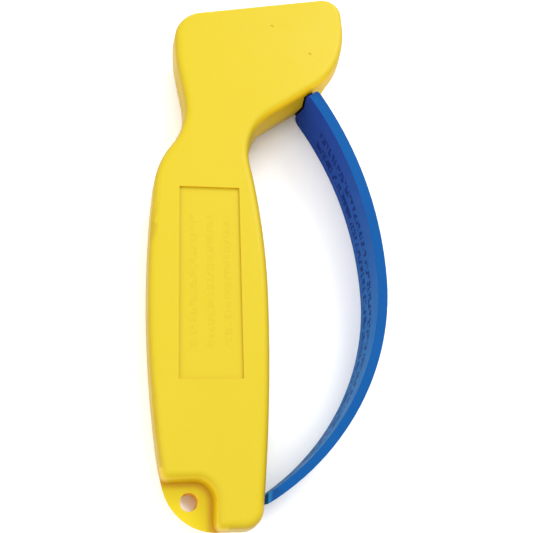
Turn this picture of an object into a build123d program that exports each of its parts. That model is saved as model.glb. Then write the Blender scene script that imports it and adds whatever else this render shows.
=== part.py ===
from build123d import *
import math
import os

# Hand-held pull-through sharpener, lying on its rear face. +Z is the front face's normal, +Y runs to the head
# and +X runs to the finger guard. All sizes are in millimetres.

# Body
thickness = 16.0            # rear face to front face
parting_z = 9.0             # widest section, where the two halves meet
front_draft = 5.0           # degrees, side walls of the front half
rear_draft = 15.0           # degrees, side walls of the rear half
front_round = 2.0
rear_round = 2.0
front_wall = 2.6            # side walls at the parting plane
rear_wall = 3.6
skin = 2.2                  # front and rear skins
floor_wall = 2.2            # behind the slot's floor
rib = 1.4
rib_reach = 80.0            # longer than the hollow is wide
rib_spacing = 15.0
rib_count = 5
lowest_rib_y = -44.5
grip_point = (0.3, -18.7)   # widest point of the grip on the guard's side
underside_length = 14.7     # straight stretch under the head
top_length = 48.4
top_tilt = 11.6             # degrees, fall of the head's top edge towards -X

# Hanging ear, at the lower left corner, as thick as the rear half
ear_flare = 15.0            # degrees, lean of the ear's side from +Y
ear_step = (-13.9, -61.1)
ear_step_round = 4.2
ear_cut = 30.0              # more than the ear's reach
ear_wall_x = -24.9          # where the step meets the left wall
ear_side_round = 2.0        # where the step meets the outer walls
hang_hole = (-19.1, -65.2)
hang_hole_radius = 2.05

# Recessed plain panel
panel_width = 15.0
panel_height = 48.6
panel_centre = (-14.3, -14.3)
panel_depth = 0.6

# Finger guard, a band along two tangent arcs
guard_widest = (27.2, -13.2)
upper_radius = 99.0
lower_radius = 59.1
upper_angle = 33.3          # degrees of arc from the widest point until the band is inside the head
lower_angle = 61.2          # the same, until the band is inside the handle's foot
band = 2.5                  # thickness at the widest point
band_taper = 0.01           # thickness gained per millimetre towards the head
end_gap = 0.7               # between the body and the band's ends
shoulder_round = 2.1
tongue_width = 10.8
upper_tongue = 5.4
lower_tongue = 3.0
tongue_inset = 0.4          # step from the band's outer face to the tongue's
bead_radius = 1.6
guard_gap = 0.15            # clearance round a tongue and its bead

# Knife slot and carbides
slot_width = 4.8
slot_mid_z = 8.0
slot_floor_x = 14.8         # floor of the slot at slot_y
slot_y = 56.8
slot_lean = 0.25            # how far the floor moves to +X per millimetre towards the foot
past_beak_x = 40.0          # these three lie outside the head
past_top_y = 80.0
below_head_y = 30.0
blade_lean = 20.0           # degrees from the slot's middle plane
blade_length = 12.0
blade_width = 3.5
blade_thickness = 1.5
blade_outside = 4.0         # length beyond the crossing
crossing_x = 17.4
blade_gap = 0.1
seat_bottom_z = 4.0
seat_top_z = 12.0
seat_low_y = 49.1
seat_top_y = 63.0
seat_back_x = 0.6
seat_back_y = 57.5
seat_knee = (9.6, 51.9)
seat_heel_x = 11.8
seat_fit = 0.05

# Screws, driven from the rear
head_screw_places = [(3.45, 60.0), (12.6, 51.7)]
handle_screw_places = [(-12.2, 25.5), (-9.7, -55.0)]
screw_places = head_screw_places + handle_screw_places
screw_radius = 1.25
screw_fit = 0.02
screw_head_radius = 2.5
screw_head_height = 1.7
screw_seat_z = 2.6          # underside of the screw head
screw_tip_z = 13.2
tip_room = 0.3              # pilot hole beyond the tip
head_rim_round = 0.6
tip_chamfer = 0.5
boss_radius = 2.9
pocket_radius = 2.75
recess_width = 0.6
recess_length = 3.0
recess_depth = 0.9
rear_post_wall = 1.2
through_gap = 0.15

# Moulding pin marks on the front face
pin_mark_places = [(3.45, 59.9), (13.7, 51.5)]
pin_mark_radius = 0.4
pin_mark_depth = 0.15


def slot_floor(y):
    """X of the knife slot's floor at a given y."""
    return slot_floor_x + slot_lean * (slot_y - y)


def band_radius(angle):
    """The guard's inner face is two arcs tangent at its widest point. Angles are turns from that point,
    + towards the head."""
    return upper_radius if angle > 0 else lower_radius


def band_thickness(angle):
    return band + band_taper * band_radius(angle) * math.radians(angle)


def band_point(outward, angle):
    """Point at a distance from the guard's inner face, away from the handle."""
    turn = math.radians(angle)
    reach = band_radius(angle) + outward
    centre_x = guard_widest[0] - band_radius(angle)
    return (centre_x + reach * math.cos(turn), guard_widest[1] + reach * math.sin(turn))


# Widest outline of the body before the ear's foot is rounded, a chain of tangent arcs and straights that runs
# anticlockwise from the grip's widest point on the guard's side. Turns are in degrees, + to the left.
with BuildSketch() as sharp_foot:
    with BuildLine():
        grip_front = JernArc(grip_point, (0, 1), radius=188.5, arc_size=11.1)
        neck_front = JernArc(grip_front @ 1, grip_front % 1, radius=14.5, arc_size=-65.8)
        underside = PolarLine(neck_front @ 1, underside_length, direction=neck_front % 1)
        beak_low = JernArc(underside @ 1, underside % 1, radius=22, arc_size=32.7)
        beak_high = JernArc(beak_low @ 1, beak_low % 1, radius=29, arc_size=22)
        beak_top = JernArc(beak_high @ 1, beak_high % 1, radius=90, arc_size=7.2)
        top = PolarLine(beak_top @ 1, top_length, 180 + top_tilt)
        nape = PolarLine(top @ 1, 8.0, -90)
        nape_curve = JernArc(nape @ 1, nape % 1, radius=60, arc_size=10.5)
        nape_low = PolarLine(nape_curve @ 1, 7.9, direction=nape_curve % 1)
        neck_back = JernArc(nape_low @ 1, nape_low % 1, radius=18, arc_size=-46.6)
        shoulder = JernArc(neck_back @ 1, neck_back % 1, radius=22, arc_size=31.1)
        grip_back = JernArc(shoulder @ 1, shoulder % 1, radius=289, arc_size=13.0)
        ear_side = JernArc(grip_back @ 1, grip_back % 1, radius=60, arc_size=7.0)
        grip_foot = JernArc(grip_point, (0, -1), radius=437, arc_size=-7.0)
        ear_end = ear_side @ 1
        foot_y = (grip_foot @ 1).Y
        ear_foot = (ear_end.X + (ear_end.Y - foot_y) * math.tan(math.radians(ear_flare)), foot_y)
        Line(ear_end, ear_foot)
        Line(ear_foot, grip_foot @ 1)
    make_face()
    for corner, radius in [(top @ 0, 5.5), (top @ 1, 9.0), (grip_foot @ 1, 4.8)]:
        fillet(sharp_foot.vertices().sort_by_distance(corner)[0], radius)

with BuildSketch() as outline:
    add(sharp_foot.sketch)
    fillet(outline.vertices().sort_by_distance(ear_foot)[0], 13.0)

# Corner of the front half that is cut away over the ear
with BuildSketch() as ear_corner:
    with Locations(ear_step):
        Rectangle(ear_cut, ear_cut, align=(Align.MAX, Align.MAX))
    fillet(ear_corner.vertices().sort_by_distance(ear_step)[0], ear_step_round)

# Outline of the body without the ear
with BuildSketch() as stepped_outline:
    add(sharp_foot.sketch)
    add(ear_corner.sketch, mode=Mode.SUBTRACT)
    step_corners = stepped_outline.vertices().sort_by_distance((ear_wall_x, ear_step[1]))[0:1]
    step_corners += stepped_outline.vertices().sort_by_distance((ear_step[0], foot_y))[0:1]
    fillet(step_corners, ear_side_round)


def drafted_half(profile, end_z, draft):
    """Solid from the parting plane to end_z whose side walls lean in by the draft angle."""
    with BuildPart() as half:
        with BuildSketch(Plane.XY.offset(parting_z)):
            add(profile)
        with BuildSketch(Plane.XY.offset(end_z)):
            add(profile)
            offset(amount=-abs(end_z - parting_z) * math.tan(math.radians(draft)))
        loft(ruled=True)
    return half.part


def beyond_floor(setback):
    """Area on the beak's side of a line parallel to the slot's floor, setback behind it."""
    with BuildSketch() as area:
        with BuildLine():
            Polyline((slot_floor(past_top_y) - setback, past_top_y), (past_beak_x, past_top_y),
                     (past_beak_x, below_head_y), (slot_floor(below_head_y) - setback, below_head_y), close=True)
        make_face()
    return area.sketch


def hollow(side_wall):
    """Inside of a half, with the wall behind the slot's floor kept."""
    with BuildSketch() as ear_side_wall:
        add(ear_corner.sketch)
        offset(amount=side_wall)
    with BuildSketch() as inside:
        add(outline.sketch)
        offset(amount=-side_wall)
        add(ear_side_wall.sketch, mode=Mode.SUBTRACT)
        add(beyond_floor(floor_wall), mode=Mode.SUBTRACT)
    return inside.sketch


def handle_ribs(inside):
    """Cross ribs of the front half, from wall to wall."""
    with BuildSketch() as ribs:
        with Locations(*[(0, lowest_rib_y + i * rib_spacing) for i in range(rib_count)]):
            Rectangle(rib_reach, rib)
        add(inside, mode=Mode.INTERSECT)
    return ribs.sketch


def seat_area(growth):
    """Outline of the block that holds the carbides, grown by a clearance to cut its pocket."""
    with BuildSketch() as area:
        with BuildLine():
            Polyline((slot_floor(seat_top_y), seat_top_y), (seat_back_x, seat_top_y), (seat_back_x, seat_back_y),
                     seat_knee, (seat_heel_x, seat_low_y), (slot_floor(seat_low_y), seat_low_y), close=True)
        make_face()
        if growth > 0:
            offset(amount=growth)
    return area.sketch


def cut_seat_pocket():
    with BuildSketch(Plane.XY.offset(seat_bottom_z - seat_fit)) as pocket:
        add(seat_pocket)
    extrude(pocket.sketch, amount=seat_top_z - seat_bottom_z + 2 * seat_fit, mode=Mode.SUBTRACT)


def round_post(places, radius, low, high, mode=Mode.ADD):
    """One upright cylinder at each place, between two heights."""
    with BuildSketch(Plane.XY.offset(low)) as rounds:
        with Locations(*places):
            Circle(radius)
    extrude(rounds.sketch, amount=high - low, mode=mode)


# Finger guard: a band with rounded shoulders, a narrower tongue at each end and a round bead on each tongue
upper_end = upper_angle + math.degrees(upper_tongue / upper_radius)
lower_end = lower_angle + math.degrees(lower_tongue / lower_radius)


def band_outline(up, down, inner, outer):
    """The guard's band seen from the front. Up and down are its arcs in degrees, and inner and outer move its
    two faces away from the handle."""
    with BuildSketch() as strip:
        with BuildLine():
            for end in (up, -down):
                turns = (0, end / 2, end)
                inner_face = ThreePointArc([band_point(inner, turn) for turn in turns])
                outer_face = ThreePointArc([band_point(band_thickness(turn) + outer, turn) for turn in turns])
                Line(inner_face @ 1, outer_face @ 1)
        make_face()
    return strip.sketch


def guard_ends(growth):
    """Tongues and beads, grown by a clearance to cut their sockets."""
    with BuildPart() as ends:
        with BuildSketch(Plane.XY.offset(slot_mid_z - tongue_width / 2 - growth)):
            add(band_outline(upper_end, lower_end, -growth, growth - tongue_inset))
            for end in (upper_end, -lower_end):
                with Locations(band_point((band_thickness(end) - tongue_inset) / 2, end)):
                    Circle(bead_radius + growth)
        extrude(amount=tongue_width + 2 * growth)
    return ends.part


def carbide(lean, centre_y, growth):
    """A carbide bar across the slot, in a plane square to the knife's travel."""
    bar_plane = Plane(origin=(crossing_x, centre_y, slot_mid_z), x_dir=(1, 0, math.tan(math.radians(lean))),
                      z_dir=(0, 1, 0))
    with BuildPart() as bar:
        with BuildSketch(bar_plane.offset(-blade_width / 2 - growth)):
            with Locations((blade_outside - blade_length / 2, 0)):
                Rectangle(blade_length + 2 * growth, blade_thickness + 2 * growth)
        extrude(amount=blade_width + 2 * growth)
    return bar.part


# Shapes shared by the pieces below
front_blank = drafted_half(stepped_outline.sketch, thickness, front_draft)
rear_blank = drafted_half(outline.sketch, 0, rear_draft)
front_hollow = hollow(front_wall)
rear_hollow = hollow(rear_wall)
slot_space = beyond_floor(0)
seat_outline = seat_area(0)
seat_pocket = seat_area(seat_fit)
front_ribs = handle_ribs(front_hollow)
guard_band = band_outline(upper_angle, lower_angle, 0, 0)
with BuildSketch() as guard_limit:
    add(outline.sketch)
    offset(amount=end_gap)
guard_trims = [drafted_half(guard_limit.sketch, thickness, front_draft),
               drafted_half(guard_limit.sketch, 0, rear_draft)]
guard_tips = guard_ends(0)
guard_sockets = guard_ends(guard_gap)
blade_places = [(blade_lean, slot_y + (blade_width + blade_gap) / 2),
                (-blade_lean, slot_y - (blade_width + blade_gap) / 2)]
front_blade, rear_blade = [carbide(lean, centre_y, 0) for lean, centre_y in blade_places]
blade_grooves = [carbide(lean, centre_y, seat_fit) for lean, centre_y in blade_places]

with BuildPart() as finger_guard:
    with BuildSketch():
        add(guard_band)
    extrude(amount=thickness)
    for trim in guard_trims:
        add(trim, mode=Mode.SUBTRACT)
    by_height = finger_guard.edges().group_by(Axis.Z)
    shoulders = [edge for edge in by_height[0] + by_height[-1] if 1 < edge.length < 3 * band]
    fillet(shoulders, shoulder_round)
    add(guard_tips)

with BuildPart() as front_housing:
    add(front_blank)
    fillet(front_housing.faces().sort_by(Axis.Z)[-1].edges(), front_round)
    with BuildSketch(Plane.XY.offset(thickness)):
        with Locations(panel_centre):
            Rectangle(panel_width, panel_height)
    extrude(amount=-panel_depth, mode=Mode.SUBTRACT)
    with BuildSketch(Plane.XY.offset(parting_z)):
        add(front_hollow)
    extrude(amount=thickness - skin - parting_z, mode=Mode.SUBTRACT)
    with BuildSketch(Plane.XY.offset(parting_z)):
        add(slot_space)
    extrude(amount=slot_mid_z + slot_width / 2 - parting_z, mode=Mode.SUBTRACT)
    cut_seat_pocket()
    with BuildSketch(Plane.XY.offset(parting_z)):
        add(front_ribs)
    extrude(amount=thickness - skin - parting_z)
    round_post(handle_screw_places, boss_radius, parting_z, thickness - skin)
    round_post(head_screw_places, boss_radius, seat_top_z + seat_fit, thickness - skin)
    add(guard_sockets, mode=Mode.SUBTRACT)
    round_post(screw_places, screw_radius + screw_fit, parting_z, screw_tip_z + tip_room, Mode.SUBTRACT)
    round_post(pin_mark_places, pin_mark_radius, thickness - pin_mark_depth, thickness, Mode.SUBTRACT)

with BuildPart() as rear_cover:
    add(rear_blank)
    fillet(rear_cover.faces().sort_by(Axis.Z)[0].edges(), rear_round)
    round_post([hang_hole], hang_hole_radius, 0, parting_z, Mode.SUBTRACT)
    with BuildSketch(Plane.XY.offset(skin)):
        add(rear_hollow)
    extrude(amount=parting_z - skin, mode=Mode.SUBTRACT)
    with BuildSketch(Plane.XY.offset(slot_mid_z - slot_width / 2)):
        add(slot_space)
    extrude(amount=thickness, mode=Mode.SUBTRACT)
    cut_seat_pocket()
    round_post(handle_screw_places, pocket_radius + rear_post_wall, skin, parting_z)
    round_post(head_screw_places, pocket_radius + rear_post_wall, skin, seat_bottom_z - seat_fit)
    add(guard_sockets, mode=Mode.SUBTRACT)
    round_post(screw_places, screw_radius + through_gap, 0, parting_z, Mode.SUBTRACT)
    round_post(screw_places, pocket_radius, 0, screw_seat_z, Mode.SUBTRACT)

with BuildPart() as blade_seat:
    with BuildSketch(Plane.XY.offset(seat_bottom_z)):
        add(seat_outline)
    extrude(amount=seat_top_z - seat_bottom_z)
    for groove in blade_grooves:
        add(groove, mode=Mode.SUBTRACT)
    round_post(head_screw_places, screw_radius + through_gap, seat_bottom_z, seat_top_z, Mode.SUBTRACT)


def screw_set(places):
    """Pan-head cross-recess screws with their heads towards -Z."""
    with BuildPart() as screws:
        round_post(places, screw_radius, screw_seat_z, screw_tip_z)
        round_post(places, screw_head_radius, screw_seat_z - screw_head_height, screw_seat_z)
        fillet(screws.edges().filter_by(GeomType.CIRCLE).group_by(Axis.Z)[0], head_rim_round)
        chamfer(screws.edges().filter_by(GeomType.CIRCLE).group_by(Axis.Z)[-1], tip_chamfer)
        with BuildSketch(Plane.XY.offset(screw_seat_z - screw_head_height)):
            with Locations(*places):
                Rectangle(recess_length, recess_width)
                Rectangle(recess_width, recess_length)
        extrude(amount=recess_depth, mode=Mode.SUBTRACT)
    return screws.part


pieces = {
    "front_housing": front_housing.part,
    "rear_cover": rear_cover.part,
    "finger_guard": finger_guard.part,
    "blade_seat": blade_seat.part,
    "front_carbide_blade": front_blade,
    "rear_carbide_blade": rear_blade,
    "head_screws": screw_set(head_screw_places),
    "handle_screws": screw_set(handle_screw_places),
}
os.makedirs("parts", exist_ok=True)
for name, piece in pieces.items():
    piece.label = name
    export_step(piece, f"parts/{name}.step")
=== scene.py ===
"""Pull-through sharpener: moulded yellow body, blue finger guard, on a plain pale floor."""

import bpy
from mathutils import Matrix, Vector


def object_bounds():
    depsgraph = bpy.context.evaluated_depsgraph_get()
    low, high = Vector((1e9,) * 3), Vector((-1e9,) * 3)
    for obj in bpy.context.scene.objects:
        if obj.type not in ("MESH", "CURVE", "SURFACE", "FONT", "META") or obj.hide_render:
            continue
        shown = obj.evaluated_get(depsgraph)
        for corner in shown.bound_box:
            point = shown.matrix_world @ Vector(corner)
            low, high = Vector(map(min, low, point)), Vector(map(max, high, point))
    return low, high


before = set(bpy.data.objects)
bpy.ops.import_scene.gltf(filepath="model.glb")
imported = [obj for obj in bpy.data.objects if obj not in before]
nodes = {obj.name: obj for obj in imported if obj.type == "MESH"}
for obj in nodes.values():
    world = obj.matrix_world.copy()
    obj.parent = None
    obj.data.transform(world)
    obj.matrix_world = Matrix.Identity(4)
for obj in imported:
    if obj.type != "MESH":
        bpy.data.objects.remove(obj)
cad_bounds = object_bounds()

# ---------------------------------------------------------------------------------------------- materials

# Places on the object, in metres
HEAD_EDGE = (0.01462, 0.04071)          # the underside of the head, where the guard meets it
HANG_HOLE = (-0.0191, -0.0652)
STEP_ROUND = 0.0042                     # inside corner of the step over the ear
STEP_CENTRE = (-0.0139 - STEP_ROUND, -0.0611 - STEP_ROUND)
PANEL_CENTRE = (-0.0143, -0.0143)
PANEL_ROWS = (-0.0183, -0.0142, -0.0101)    # X of the middle of each row of marks
PANEL_REACH = (-0.0315, 0.0030)             # first and last Y of the marks
STRAP_ROWS = (0.0038, 0.0084)               # the same on the guard, where rows lie at a height in Z
STRAP_REACH = (-0.061, 0.031)
PARTING_Z = 0.009
BORE_EDGE = (0.00205, 0.00221)          # the bore's radius, and where its painted brighter tone ends
PANEL_HALF_WIDTH = (0.0085, 0.0090)     # where the painted shade on the recess's walls is full and where it ends
PANEL_HALF_HEIGHT = (0.0260, 0.0270)
HEAD_NORMAL = (0.578, -0.816)           # across the head's underside, towards the guard
REAR_LEAN = 0.268                       # slope of the rear half's walls
FRONT_LEAN = 0.0875                     # slope of the front half's walls
END_GAP = (0.00064, 0.00074)            # painted shadow: dark line between the head and the guard's end

GRAIN_DEPTH = 0.00004
DASH_STRETCH = 0.35                     # cells across a row for one along it


def srgb(red, green, blue):
    """8-bit screen colour as a linear RGBA tuple."""
    def linear(value):
        value /= 255
        return value / 12.92 if value <= 0.04045 else ((value + 0.055) / 1.055) ** 2.4
    return (linear(red), linear(green), linear(blue), 1.0)


class Surface:
    """A Principled material with helpers for its node tree."""

    def __init__(self, name, roughness, subsurface=0.0, metallic=0.0, specular=0.5):
        self.material = bpy.data.materials.new(name)
        self.material.use_nodes = True
        self.tree = self.material.node_tree
        self.shader = self.tree.nodes["Principled BSDF"]
        self.shader.inputs["Roughness"].default_value = roughness
        self.shader.inputs["Metallic"].default_value = metallic
        self.shader.inputs["Specular IOR Level"].default_value = specular
        if subsurface:
            self.shader.inputs["Subsurface Weight"].default_value = subsurface
            self.shader.inputs["Subsurface Radius"].default_value = (1.0, 0.6, 0.12)
            self.shader.inputs["Subsurface Scale"].default_value = 0.0022
        self.place = self.node("ShaderNodeTexCoord").outputs["Object"]

    def node(self, kind, **values):
        made = self.tree.nodes.new(kind)
        for key, value in values.items():
            setattr(made, key, value)
        return made

    def link(self, output, socket):
        self.tree.links.new(output, socket)

    def feed(self, value, socket):
        """Link a socket, or set a number or a colour."""
        if isinstance(value, bpy.types.NodeSocket):
            self.link(value, socket)
        else:
            socket.default_value = value

    def noise(self, scale, detail=3.0, roughness=0.5, stretch=(1, 1, 1)):
        """Noise value over the object, scale in cells per metre."""
        mapping = self.node("ShaderNodeMapping")
        mapping.inputs["Scale"].default_value = stretch
        self.link(self.place, mapping.inputs["Vector"])
        texture = self.node("ShaderNodeTexNoise")
        texture.inputs["Scale"].default_value = scale
        texture.inputs["Detail"].default_value = detail
        texture.inputs["Roughness"].default_value = roughness
        self.link(mapping.outputs["Vector"], texture.inputs["Vector"])
        return texture.outputs["Fac"]

    def remap(self, value, low, high, to_low, to_high, smooth=False):
        ramp = self.node("ShaderNodeMapRange", interpolation_type="SMOOTHSTEP" if smooth else "LINEAR")
        for name, number in zip(("From Min", "From Max", "To Min", "To Max"), (low, high, to_low, to_high)):
            ramp.inputs[name].default_value = number
        self.link(value, ramp.inputs["Value"])
        return ramp.outputs["Result"]

    def mix(self, factor, first, second):
        """Mix of two colours, each a tuple or a socket, by a socket."""
        mixer = self.node("ShaderNodeMix", data_type="RGBA")
        for value, name in ((factor, "Factor"), (first, "A"), (second, "B")):
            self.feed(value, mixer.inputs[name])
        return mixer.outputs["Result"]

    def maths(self, operation, first, second):
        made = self.node("ShaderNodeMath", operation=operation)
        for value, socket in zip((first, second), made.inputs):
            self.feed(value, socket)
        return made.outputs["Value"]

    def product(self, *factors):
        result = factors[0]
        for factor in factors[1:]:
            result = self.maths("MULTIPLY", result, factor)
        return result

    def plus(self, first, second):
        return self.maths("ADD", first, second)

    def minus(self, first, second):
        return self.maths("SUBTRACT", first, second)

    def excess(self, first, second):
        """How much the first is over the second, or 0."""
        return self.maths("MAXIMUM", self.minus(first, second), 0.0)

    def length(self, first, second):
        squares = [self.maths("POWER", value, 2) for value in (first, second)]
        return self.maths("SQRT", self.plus(*squares), 0)

    def near(self, coordinate, middle, full, none):
        """1 within full of the middle, falling to 0 at none."""
        away = self.maths("ABSOLUTE", self.minus(coordinate, middle), 0)
        return self.remap(away, full, none, 1, 0)

    def bump(self, height, distance, strength):
        made = self.node("ShaderNodeBump")
        made.inputs["Distance"].default_value = distance
        made.inputs["Strength"].default_value = strength
        self.link(height, made.inputs["Height"])
        self.link(made.outputs["Normal"], self.shader.inputs["Normal"])

    def paint(self, colour):
        self.link(colour, self.shader.inputs["Base Color"])

    def polish(self, roughness):
        self.link(roughness, self.shader.inputs["Roughness"])

    def coordinates(self):
        """Sockets for the place on the object along X, Y and Z, in metres."""
        split = self.node("ShaderNodeSeparateXYZ")
        self.link(self.place, split.inputs["Vector"])
        return [split.outputs[axis] for axis in "XYZ"]

    def facing(self, axis):
        """How far the surface faces along one axis of the object, from -1 to 1."""
        geometry = self.node("ShaderNodeNewGeometry")
        split = self.node("ShaderNodeSeparateXYZ")
        self.link(geometry.outputs["Normal"], split.inputs["Vector"])
        return split.outputs[axis]

    def pointiness(self):
        return self.node("ShaderNodeNewGeometry").outputs["Pointiness"]


def raised_dashes(surface, along, across, rows, row_height, reach, cell):
    """Rows of small raised dashes with no letters in them. Along and across are sockets in metres, rows the middle
    of each row across, reach the first and last place along it."""
    joined = surface.node("ShaderNodeCombineXYZ")
    surface.link(surface.product(along, 1 / cell), joined.inputs["X"])
    surface.link(surface.product(across, DASH_STRETCH / cell), joined.inputs["Y"])
    speckle = surface.node("ShaderNodeTexNoise")
    speckle.inputs["Scale"].default_value = 1.0
    speckle.inputs["Detail"].default_value = 1.0
    surface.link(joined.outputs["Vector"], speckle.inputs["Vector"])
    dash = surface.remap(speckle.outputs["Fac"], 0.47, 0.53, 0, 1, True)
    band = 0.0
    for row in rows:
        band = surface.maths("MAXIMUM", surface.near(across, row, row_height * 0.4, row_height * 0.5), band)
    start = surface.remap(along, reach[0], reach[0] + cell, 0, 1)
    end = surface.remap(along, reach[1] - cell, reach[1], 1, 0)
    return surface.product(dash, band, start, end)


def moulded_yellow(name, upward, panel_marks=False):
    """Satin yellow moulding: mild flow marks and a fine spark-eroded grain. Painted shade makes the walls darker
    and more orange, warmer still on walls that face the foot, on the recess's walls and at the step over the ear;
    the bore's walls get a painted brighter tone.
    """
    surface = Surface(name, roughness=0.45, subsurface=0.06, specular=0.22)
    x, y, z = surface.coordinates()
    flow = surface.remap(surface.noise(14, 4, 0.55, (1, 0.35, 1)), 0.3, 0.7, 0, 1, True)
    body = surface.mix(flow, upward, tuple(0.96 * part for part in upward[:3]) + (1.0,))
    # painted shade: walls that don't face up get a darker, more orange tone than the face
    side = surface.remap(surface.facing("Z"), 0.5, 0.98, 1, 0, True)
    body = surface.mix(side, body, srgb(174, 144, 3))

    # painted shade: the walls of the recess around the panel get a deeper orange tone
    near_panel = surface.product(surface.near(x, PANEL_CENTRE[0], *PANEL_HALF_WIDTH),
                                 surface.near(y, PANEL_CENTRE[1], *PANEL_HALF_HEIGHT))
    recess = surface.product(side, surface.remap(z, 0.0145, 0.0150, 0, 1), near_panel)
    body = surface.mix(recess, body, srgb(214, 166, 0))

    # painted shade: the underside of the head, facing the foot, gets a deeper orange
    underside = surface.product(surface.remap(surface.facing("Y"), -0.75, -0.25, 0.85, 0, True),
                                surface.remap(y, 0.015, 0.028, 0, 1))
    body = surface.mix(underside, body, srgb(222, 180, 0))

    # painted light and shade at the step over the ear: its wall gets a lighter tone than the other walls, and a
    # painted shade at its foot stands in for a soft concave round; distance from its wall, + over the ear
    past_centre = surface.length(surface.excess(x, STEP_CENTRE[0]), surface.excess(y, STEP_CENTRE[1]))
    into_ear = surface.minus(STEP_ROUND, past_centre)
    by_step = surface.remap(into_ear, -0.0034, -0.0028, 0, 1)
    above_ear = surface.remap(z, 0.0086, 0.0089, 0, 1)
    body = surface.mix(surface.product(side, by_step, above_ear), body, srgb(198, 168, 0))
    # painted shade along the foot of the step
    shade = surface.product(by_step, above_ear, surface.remap(into_ear, 0.0, 0.0018, 0.6, 0, True),
                            surface.remap(z, PARTING_Z, 0.0150, 1, 0))
    body = surface.mix(shade, body, srgb(172, 104, 0))

    # painted light: the bore's walls get a brighter yellow than the other walls, to tint the light they bounce
    # into the hole
    from_bore = surface.length(surface.minus(x, HANG_HOLE[0]), surface.minus(y, HANG_HOLE[1]))
    bore = surface.product(side, surface.remap(from_bore, *BORE_EDGE, 1, 0))
    body = surface.mix(bore, body, srgb(255, 204, 0))

    scuffs = surface.remap(surface.noise(620, 6, 0.7), 0.64, 0.8, 0, 0.16)
    body = surface.mix(scuffs, body, srgb(176, 146, 16))
    surface.polish(surface.remap(surface.noise(95, 5, 0.6), 0.3, 0.7, 0.4, 0.54))
    grain = surface.noise(2400, 4, 0.6)
    if panel_marks:
        marks = raised_dashes(surface, y, x, PANEL_ROWS, 0.0018, PANEL_REACH, 0.0008)
        body = surface.mix(surface.product(marks, 0.22), body, srgb(176, 150, 6))
        grain = surface.plus(grain, surface.product(marks, 2.0))
    surface.paint(body)
    surface.bump(grain, GRAIN_DEPTH, 0.5)
    return surface.material


def moulded_blue(name):
    """Semi-flexible blue moulding with drawn-out flow lines, raised dashes inside and paler convex edges; painted
    light and shade: a sheen on the inner face, darkened dashes and a near-black shadow line at the guard's end.
    """
    surface = Surface(name, roughness=0.42, subsurface=0.03, specular=0.01)
    x, y, z = surface.coordinates()
    flow = surface.remap(surface.noise(60, 4, 0.6, (1, 1, 0.25)), 0.3, 0.7, 0, 1, True)
    body = surface.mix(flow, srgb(24, 71, 124), srgb(22, 65, 118))
    # painted light: the inner face gets its own colour, lighter and greener towards the bottom, for the sheen it
    # shows there
    inner = surface.product(surface.remap(surface.facing("Z"), 0.4, 0.9, 1, 0, True),
                            surface.remap(surface.facing("X"), -0.3, -0.1, 1, 0))
    height = surface.remap(y, -0.060, 0.036, 0, 1, True)
    body = surface.mix(inner, body, surface.mix(height, srgb(46, 124, 188), srgb(40, 46, 142)))
    edge = surface.remap(surface.pointiness(), 0.52, 0.62, 0, 0.35, True)
    body = surface.mix(edge, body, srgb(14, 88, 158))
    surface.polish(surface.remap(surface.noise(150, 5, 0.6), 0.3, 0.7, 0.34, 0.5))

    # painted shade: the raised dashes are darkened for the shade along their sides
    marks = surface.product(raised_dashes(surface, y, z, STRAP_ROWS, 0.0034, STRAP_REACH, 0.0010), inner)
    body = surface.mix(surface.product(marks, 0.75), body, srgb(0, 24, 96))

    # painted shadow: near-black line along the guard's end, where it meets the leaning walls of the head
    from_head = surface.plus(surface.product(surface.minus(x, HEAD_EDGE[0]), HEAD_NORMAL[0]),
                             surface.product(surface.minus(y, HEAD_EDGE[1]), HEAD_NORMAL[1]))
    lean = surface.plus(surface.product(surface.excess(PARTING_Z, z), REAR_LEAN),
                        surface.product(surface.excess(z, PARTING_Z), FRONT_LEAN))
    end_gap_shadow = surface.remap(surface.plus(from_head, lean), *END_GAP, 1, 0)
    surface.paint(surface.mix(end_gap_shadow, body, srgb(6, 7, 12)))
    grain = surface.plus(surface.noise(2000, 4, 0.6), surface.product(marks, 4.0))
    surface.bump(grain, GRAIN_DEPTH, 0.6)
    return surface.material


def black_nylon(name):
    """Moulded black nylon with a faint cloudiness."""
    surface = Surface(name, roughness=0.55)
    surface.paint(surface.mix(surface.noise(200, 4), srgb(42, 42, 44), srgb(56, 56, 58)))
    surface.bump(surface.noise(1500, 4), GRAIN_DEPTH, 0.6)
    return surface.material


def ground_carbide(name):
    """Dark grey carbide with grinding lines along each bar."""
    surface = Surface(name, roughness=0.3, metallic=0.9)
    lines = surface.noise(2600, 3, 0.6, (0.06, 1, 1))
    surface.paint(surface.mix(lines, srgb(120, 122, 128), srgb(158, 160, 166)))
    surface.polish(surface.remap(lines, 0.3, 0.7, 0.2, 0.4))
    surface.bump(lines, 0.00002, 0.5)
    return surface.material


def plated_steel(name):
    """Zinc-plated steel, cloudy and a little worn."""
    surface = Surface(name, roughness=0.3, metallic=1.0)
    cloud = surface.noise(700, 5, 0.6)
    surface.paint(surface.mix(cloud, srgb(176, 178, 184), srgb(206, 208, 212)))
    surface.polish(surface.remap(cloud, 0.3, 0.7, 0.22, 0.42))
    surface.bump(cloud, 0.00003, 0.4)
    return surface.material


finishes = {
    "front_housing": moulded_yellow("front_yellow", srgb(187, 166, 20), panel_marks=True),
    # painted light: the rear half's upward face, the ear plate, gets a warmer yellow than the front's face for the
    # light bounced onto it from the step
    "rear_cover": moulded_yellow("rear_yellow", srgb(206, 184, 0)),
    "finger_guard": moulded_blue("guard_blue"),
    "blade_seat": black_nylon("seat_nylon"),
    "front_carbide_blade": ground_carbide("carbide"),
    "head_screws": plated_steel("screw_steel"),
}
finishes["rear_carbide_blade"] = finishes["front_carbide_blade"]
finishes["handle_screws"] = finishes["head_screws"]
for name, material in finishes.items():
    mesh = nodes[name].data
    mesh.materials.clear()
    mesh.materials.append(material)

# ------------------------------------------------------------------------------------------- floor and light

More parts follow.
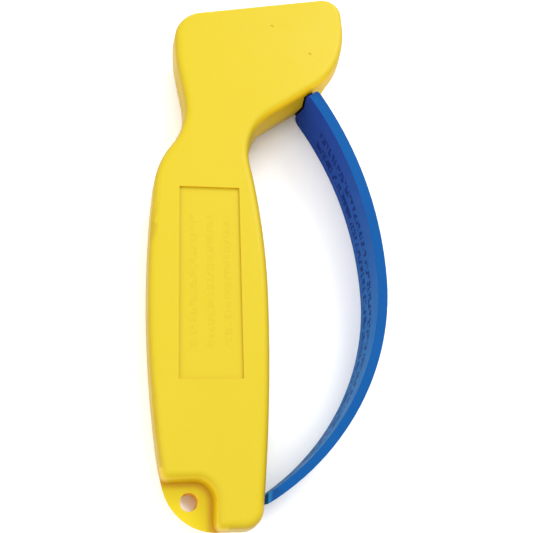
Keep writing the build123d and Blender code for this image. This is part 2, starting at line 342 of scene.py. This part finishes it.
FLOOR_SIZE = 3.0
FLOOR_DROP = 0.0002                     # below the object, so that the two faces don't coincide
floor_mesh = bpy.data.meshes.new("floor")
half = FLOOR_SIZE / 2
corners = [(-half, -half, 0), (half, -half, 0), (half, half, 0), (-half, half, 0)]
floor_mesh.from_pydata(corners, [], [(0, 1, 2, 3)])
floor = bpy.data.objects.new("floor", floor_mesh)
bpy.context.scene.collection.objects.link(floor)
floor.location.z = cad_bounds[0][2] - FLOOR_DROP
paper = Surface("floor_paper", roughness=0.9)
paper.paint(paper.mix(paper.noise(3, 2), (0.96, 0.96, 0.96, 1), (0.98, 0.98, 0.98, 1)))
floor_mesh.materials.append(paper.material)


def soft_box(name, place, size, power):
    """Round area lamp that faces the object."""
    lamp = bpy.data.lights.new(name, "AREA")
    lamp.shape = "DISK"
    lamp.size = size
    lamp.energy = power
    holder = bpy.data.objects.new(name, lamp)
    bpy.context.scene.collection.objects.link(holder)
    holder.location = place
    holder.rotation_euler = (-Vector(place)).to_track_quat("-Z", "Y").to_euler()


soft_box("key_light", (0.38, 0.5, 0.55), 0.5, 4.6)
soft_box("fill_light", (-0.6, -0.2, 0.5), 0.7, 2.4)
soft_box("top_light", (0, 0, 0.9), 0.9, 2.6)

world = bpy.data.worlds.new("studio")
bpy.context.scene.world = world
world.use_nodes = True
world.node_tree.nodes["Background"].inputs["Color"].default_value = (1, 1, 1, 1)
world.node_tree.nodes["Background"].inputs["Strength"].default_value = 0.95
bpy.context.scene.view_settings.view_transform = "Standard"

# --------------------------------------------------------------------------------------------------- camera

CAMERA_PLACE = Vector((-0.02896, -0.07442, 0.18810))
SENSOR_WIDTH = 36
FOCAL_LENGTH = 51.33
NEAREST = 0.01
LOOK = Vector((0.15280602, 0.3417167, -0.92729716))
UP = Vector((-0.01886158, 0.93915407, 0.34297794))
lens = bpy.data.cameras.new("camera")
lens.sensor_width = SENSOR_WIDTH
lens.lens = FOCAL_LENGTH
lens.clip_start = NEAREST
camera = bpy.data.objects.new("camera", lens)
bpy.context.scene.collection.objects.link(camera)
right = LOOK.cross(UP).normalized()
turn = Matrix((right, right.cross(LOOK), -LOOK)).transposed()
camera.matrix_world = Matrix.Translation(CAMERA_PLACE) @ turn.to_4x4()
bpy.context.scene.camera = camera
